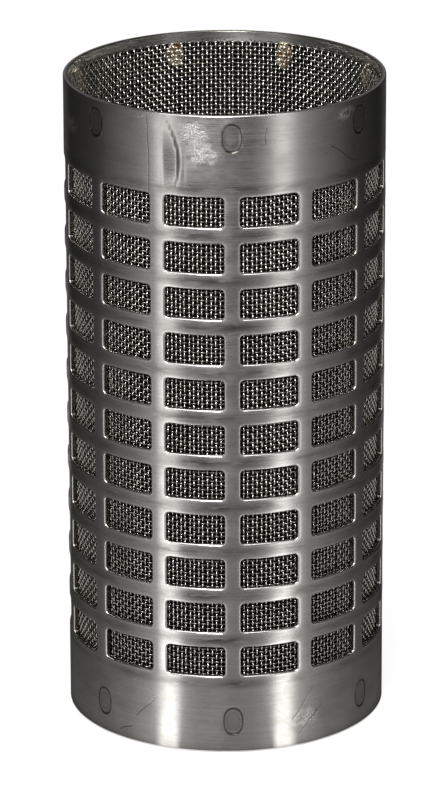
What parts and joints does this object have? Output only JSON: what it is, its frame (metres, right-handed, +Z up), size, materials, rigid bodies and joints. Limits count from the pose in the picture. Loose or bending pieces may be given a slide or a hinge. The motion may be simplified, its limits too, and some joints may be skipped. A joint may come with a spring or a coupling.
{
  "type": "strainer screen",
  "caption": "Open tube of perforated stainless sheet lined with woven wire mesh, spot welded at both ends, that filters solids from a liquid passing through its wall",
  "frame": {"origin": "centre of the lower rim, on the tube's axis, where the screen stands on a surface", "axes": "+Z up along the tube's axis, -Y towards the front as pictured, +X to the right seen from the front"},
  "size_m": [0.1016, 0.1016, 0.2096],
  "materials": {
    "shell_steel": "rolled stainless sheet with a dull polish, light scuffs and scratches",
    "mesh_wire": "bright drawn wire, plain square weave",
    "weld_metal": "fused steel with straw and brown heat tint"
  },
  "bodies": {
    "root": {"perforated_shell": "shell_steel", "seam_weld": "weld_metal", "mesh_liner": "mesh_wire", "spot_weld_top_1": "weld_metal", "spot_weld_top_2": "weld_metal", "spot_weld_top_3": "weld_metal", "spot_weld_top_4": "weld_metal", "spot_weld_top_5": "weld_metal", "spot_weld_top_6": "weld_metal", "spot_weld_top_7": "weld_metal", "spot_weld_bottom_1": "weld_metal", "spot_weld_bottom_2": "weld_metal", "spot_weld_bottom_3": "weld_metal", "spot_weld_bottom_4": "weld_metal", "spot_weld_bottom_5": "weld_metal", "spot_weld_bottom_6": "weld_metal", "spot_weld_bottom_7": "weld_metal"}
  },
  "joints": []
}
